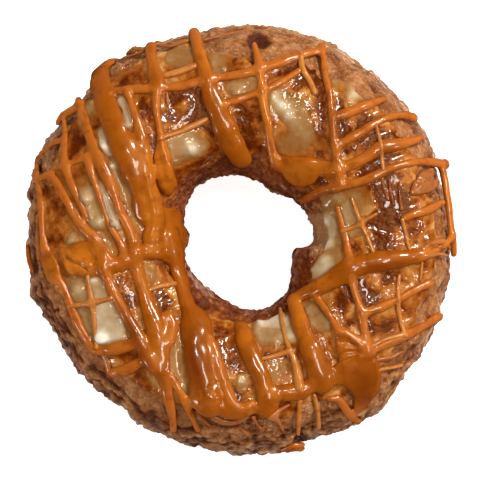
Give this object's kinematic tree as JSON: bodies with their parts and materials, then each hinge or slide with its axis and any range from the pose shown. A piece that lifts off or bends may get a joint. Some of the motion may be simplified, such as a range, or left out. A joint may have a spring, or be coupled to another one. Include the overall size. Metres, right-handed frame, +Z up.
{
  "type": "cake doughnut",
  "caption": "Ring-shaped cake doughnut with a rough fried crust, a clear sugar glaze and thick caramel drizzle, lying flat on its base.",
  "frame": {"origin": "middle of the flat base, under the centre of the ring's outline", "axes": "+Z up along the hole, out of the glazed side; +Y is the top of the doughnut as seen from above, and +X its right"},
  "size_m": [0.0894, 0.0896, 0.0286],
  "materials": {
    "fried_crust": "satin",
    "sugar_glaze": "gloss",
    "caramel": "gloss"
  },
  "bodies": {
    "root": {"doughnut_ring": "fried_crust"}
  },
  "joints": []
}
